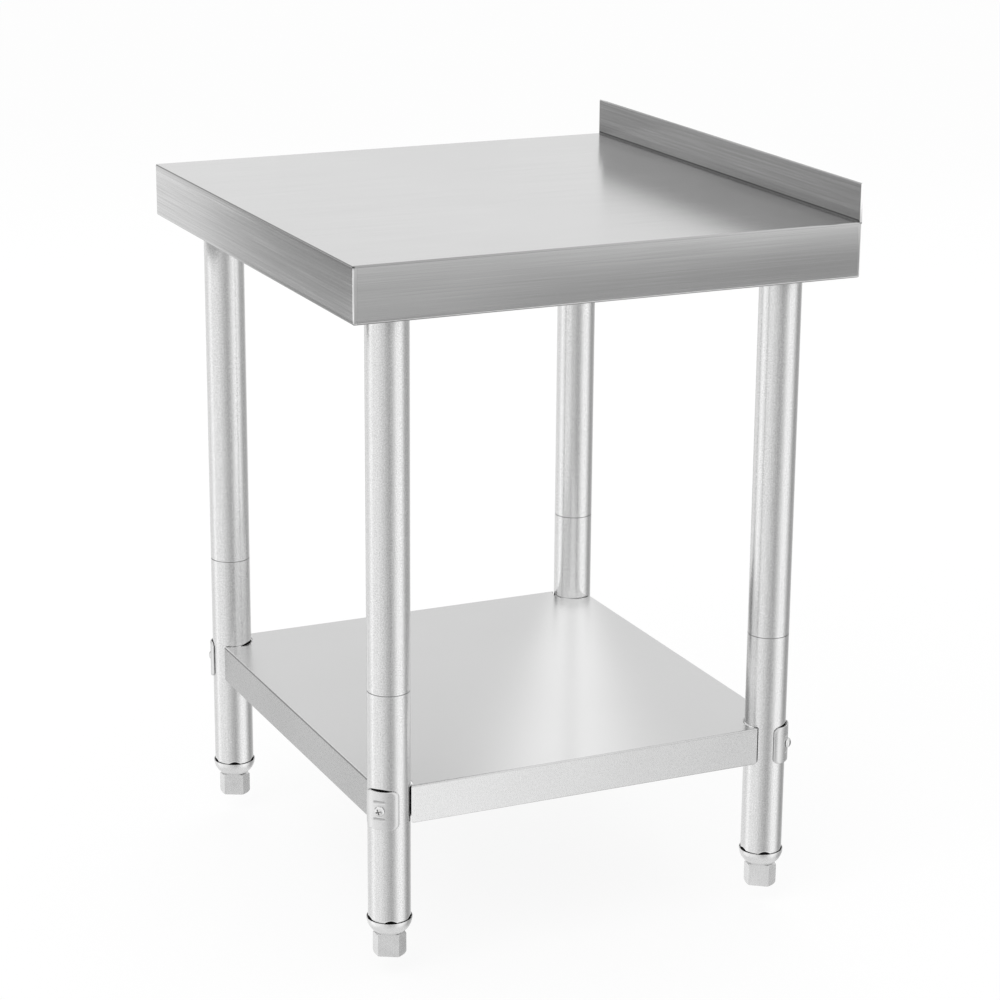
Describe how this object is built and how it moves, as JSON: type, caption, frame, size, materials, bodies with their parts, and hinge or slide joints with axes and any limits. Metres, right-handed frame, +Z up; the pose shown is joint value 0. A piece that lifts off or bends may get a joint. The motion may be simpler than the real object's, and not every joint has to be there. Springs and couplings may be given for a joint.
{
  "type": "stainless work table",
  "caption": "Stainless worktop with a rear upstand on round tubular legs, a clamped undershelf and screw-adjusted six-sided feet.",
  "frame": {"origin": "on the floor under the middle of the worktop, feet screwed right in", "axes": "+X to the right for a user standing in front, +Y to the rear where the upstand is, +Z up"},
  "size_m": [0.64, 0.6, 0.843],
  "materials": {
    "worktop_steel": "linished stainless sheet, grain front to rear on the top and along each folded edge",
    "channel_steel": "mill finish channel, dull grey",
    "socket_casting": "cast aluminium, fine sand-cast skin",
    "leg_steel": "satin tube, fine lengthwise polish",
    "coupling_steel": "turned steel, dull",
    "shelf_steel": "satin sheet with a faint spangle",
    "clamp_steel": "pressed sheet, matt with fine speckle",
    "fastener_steel": "bright plated fastener",
    "foot_steel": "satin turned and milled steel"
  },
  "bodies": {
    "frame": {"worktop_sheet": "worktop_steel", "side_channel_left": "channel_steel", "side_channel_right": "channel_steel", "middle_channel": "channel_steel", "shelf_sheet": "shelf_steel", "shelf_channel": "channel_steel", "grub_screws": "fastener_steel", "clamp_nuts": "fastener_steel", "leg_socket_front_left": "socket_casting", "upper_leg_front_left": "leg_steel", "leg_coupling_front_left": "coupling_steel", "lower_leg_front_left": "leg_steel", "shelf_bracket_front_left": "shelf_steel", "clamp_plate_front_left": "clamp_steel", "clamp_screw_front_left": "fastener_steel", "foot_insert_front_left": "foot_steel", "leg_socket_front_right": "socket_casting", "upper_leg_front_right": "leg_steel", "leg_coupling_front_right": "coupling_steel", "lower_leg_front_right": "leg_steel", "shelf_bracket_front_right": "shelf_steel", "clamp_plate_front_right": "clamp_steel", "clamp_screw_front_right": "fastener_steel", "foot_insert_front_right": "foot_steel", "leg_socket_rear_right": "socket_casting", "upper_leg_rear_right": "leg_steel", "leg_coupling_rear_right": "coupling_steel", "lower_leg_rear_right": "leg_steel", "shelf_bracket_rear_right": "shelf_steel", "clamp_plate_rear_right": "clamp_steel", "clamp_screw_rear_right": "fastener_steel", "foot_insert_rear_right": "foot_steel", "leg_socket_rear_left": "socket_casting", "upper_leg_rear_left": "leg_steel", "leg_coupling_rear_left": "coupling_steel", "lower_leg_rear_left": "leg_steel", "shelf_bracket_rear_left": "shelf_steel", "clamp_plate_rear_left": "clamp_steel", "clamp_screw_rear_left": "fastener_steel", "foot_insert_rear_left": "foot_steel"},
    "stud_front_left": {"foot_stud_front_left": "foot_steel"},
    "foot_front_left": {"levelling_foot_front_left": "foot_steel"},
    "stud_front_right": {"foot_stud_front_right": "foot_steel"},
    "foot_front_right": {"levelling_foot_front_right": "foot_steel"},
    "stud_rear_right": {"foot_stud_rear_right": "foot_steel"},
    "foot_rear_right": {"levelling_foot_rear_right": "foot_steel"},
    "stud_rear_left": {"foot_stud_rear_left": "foot_steel"},
    "foot_rear_left": {"levelling_foot_rear_left": "foot_steel"}
  },
  "joints": [
    {"name": "stud_travel_front_left", "type": "slide", "parent": "frame", "child": "stud_front_left", "axis": [0, 0, -1], "range_m": [0, 0.025]},
    {"name": "foot_turn_front_left", "type": "hinge", "parent": "stud_front_left", "child": "foot_front_left", "pos_m": [-0.257, -0.237, 0.0135], "axis": [0, 0, -1], "range_deg": [0, 4500]},
    {"name": "stud_travel_front_right", "type": "slide", "parent": "frame", "child": "stud_front_right", "axis": [0, 0, -1], "range_m": [0, 0.025]},
    {"name": "foot_turn_front_right", "type": "hinge", "parent": "stud_front_right", "child": "foot_front_right", "pos_m": [0.257, -0.237, 0.0135], "axis": [0, 0, -1], "range_deg": [0, 4500]},
    {"name": "stud_travel_rear_right", "type": "slide", "parent": "frame", "child": "stud_rear_right", "axis": [0, 0, -1], "range_m": [0, 0.025]},
    {"name": "foot_turn_rear_right", "type": "hinge", "parent": "stud_rear_right", "child": "foot_rear_right", "pos_m": [0.257, 0.237, 0.0135], "axis": [0, 0, -1], "range_deg": [0, 4500]},
    {"name": "stud_travel_rear_left", "type": "slide", "parent": "frame", "child": "stud_rear_left", "axis": [0, 0, -1], "range_m": [0, 0.025]},
    {"name": "foot_turn_rear_left", "type": "hinge", "parent": "stud_rear_left", "child": "foot_rear_left", "pos_m": [-0.257, 0.237, 0.0135], "axis": [0, 0, -1], "range_deg": [0, 4500]}
  ],
  "couplings": [
    {"joint": "foot_turn_front_left", "follows": "stud_travel_front_left", "rad_per_m": 3141.6},
    {"joint": "foot_turn_front_right", "follows": "stud_travel_front_right", "rad_per_m": 3141.6},
    {"joint": "foot_turn_rear_right", "follows": "stud_travel_rear_right", "rad_per_m": 3141.6},
    {"joint": "foot_turn_rear_left", "follows": "stud_travel_rear_left", "rad_per_m": 3141.6}
  ]
}
